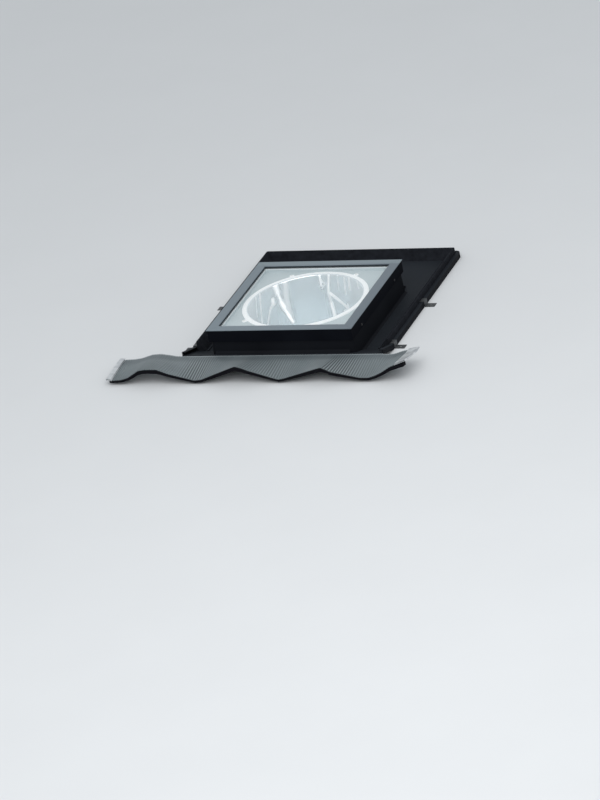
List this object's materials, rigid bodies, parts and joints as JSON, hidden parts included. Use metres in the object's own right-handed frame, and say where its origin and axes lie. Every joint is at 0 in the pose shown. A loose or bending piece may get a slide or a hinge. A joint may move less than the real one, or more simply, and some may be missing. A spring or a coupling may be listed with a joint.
{
  "type": "roof skylight",
  "caption": "Fixed flat-glass roof skylight: square pane and cover frame on a moulded flashing with a pleated apron, over a round mirror tube that ends in a ceiling diffuser.",
  "frame": {"origin": "on the tube's axis in the plane of the roof battens, at the centre of the four clip holes", "axes": "+X across the roof to the right seen from the eaves, +Y up the roof slope, +Z out of the roof"},
  "size_m": [0.9764, 0.86, 0.421],
  "materials": {
    "glass": "clear toughened float glass, flat",
    "gasket": "dark EPDM rubber, matt",
    "bed_tape": "black sealing tape",
    "pale_tape": "pale glazing tape",
    "cladding": "grey coated aluminium sheet, satin",
    "clip_plastic": "black moulded plastic",
    "frame_moulding": "black moulded plastic, fine grain",
    "screws": "zinc plated steel",
    "foam_seal": "black closed-cell foam",
    "flashing": "black one-piece moulding, fine grain",
    "foam": "dark open-cell foam strip",
    "zinc_strap": "zinc plated strip",
    "apron_sheet": "grey coated pleated sheet, bare metal on its turned ends",
    "plate": "pale grey plate",
    "ring": "white moulded plastic",
    "mirror_tube": "mirror film on sheet aluminium",
    "foil": "aluminium foil tape",
    "room_white": "white moulded plastic",
    "clear_acrylic": "clear acrylic sheet",
    "frosted_acrylic": "frosted prismatic acrylic"
  },
  "bodies": {
    "root": {"glass_pane": "glass", "glazing_gasket": "gasket", "glazing_bed": "pale_tape", "cladding_bottom": "cladding", "cladding_right": "cladding", "cladding_top": "cladding", "cladding_left": "cladding", "cladding_clips": "clip_plastic", "pane_frame": "frame_moulding", "frame_screws": "screws", "kerb_seal": "foam_seal", "flashing_tray": "flashing", "foam_left": "foam", "foam_right": "foam", "foam_top": "foam", "fixing_clips": "zinc_strap", "apron": "apron_sheet", "apron_strip": "bed_tape", "apron_tape": "bed_tape", "tube_plate": "plate", "plate_screws": "screws", "top_ring": "ring", "ring_screws": "screws", "upper_tube": "mirror_tube", "lower_tube": "mirror_tube", "joint_tape": "foil", "tube_screws": "screws", "ceiling_ring": "room_white", "inner_diffuser": "clear_acrylic", "diffuser_seal": "foam_seal", "trim_ring": "room_white", "diffuser_lens": "frosted_acrylic", "trim_screws": "screws"}
  },
  "joints": []
}
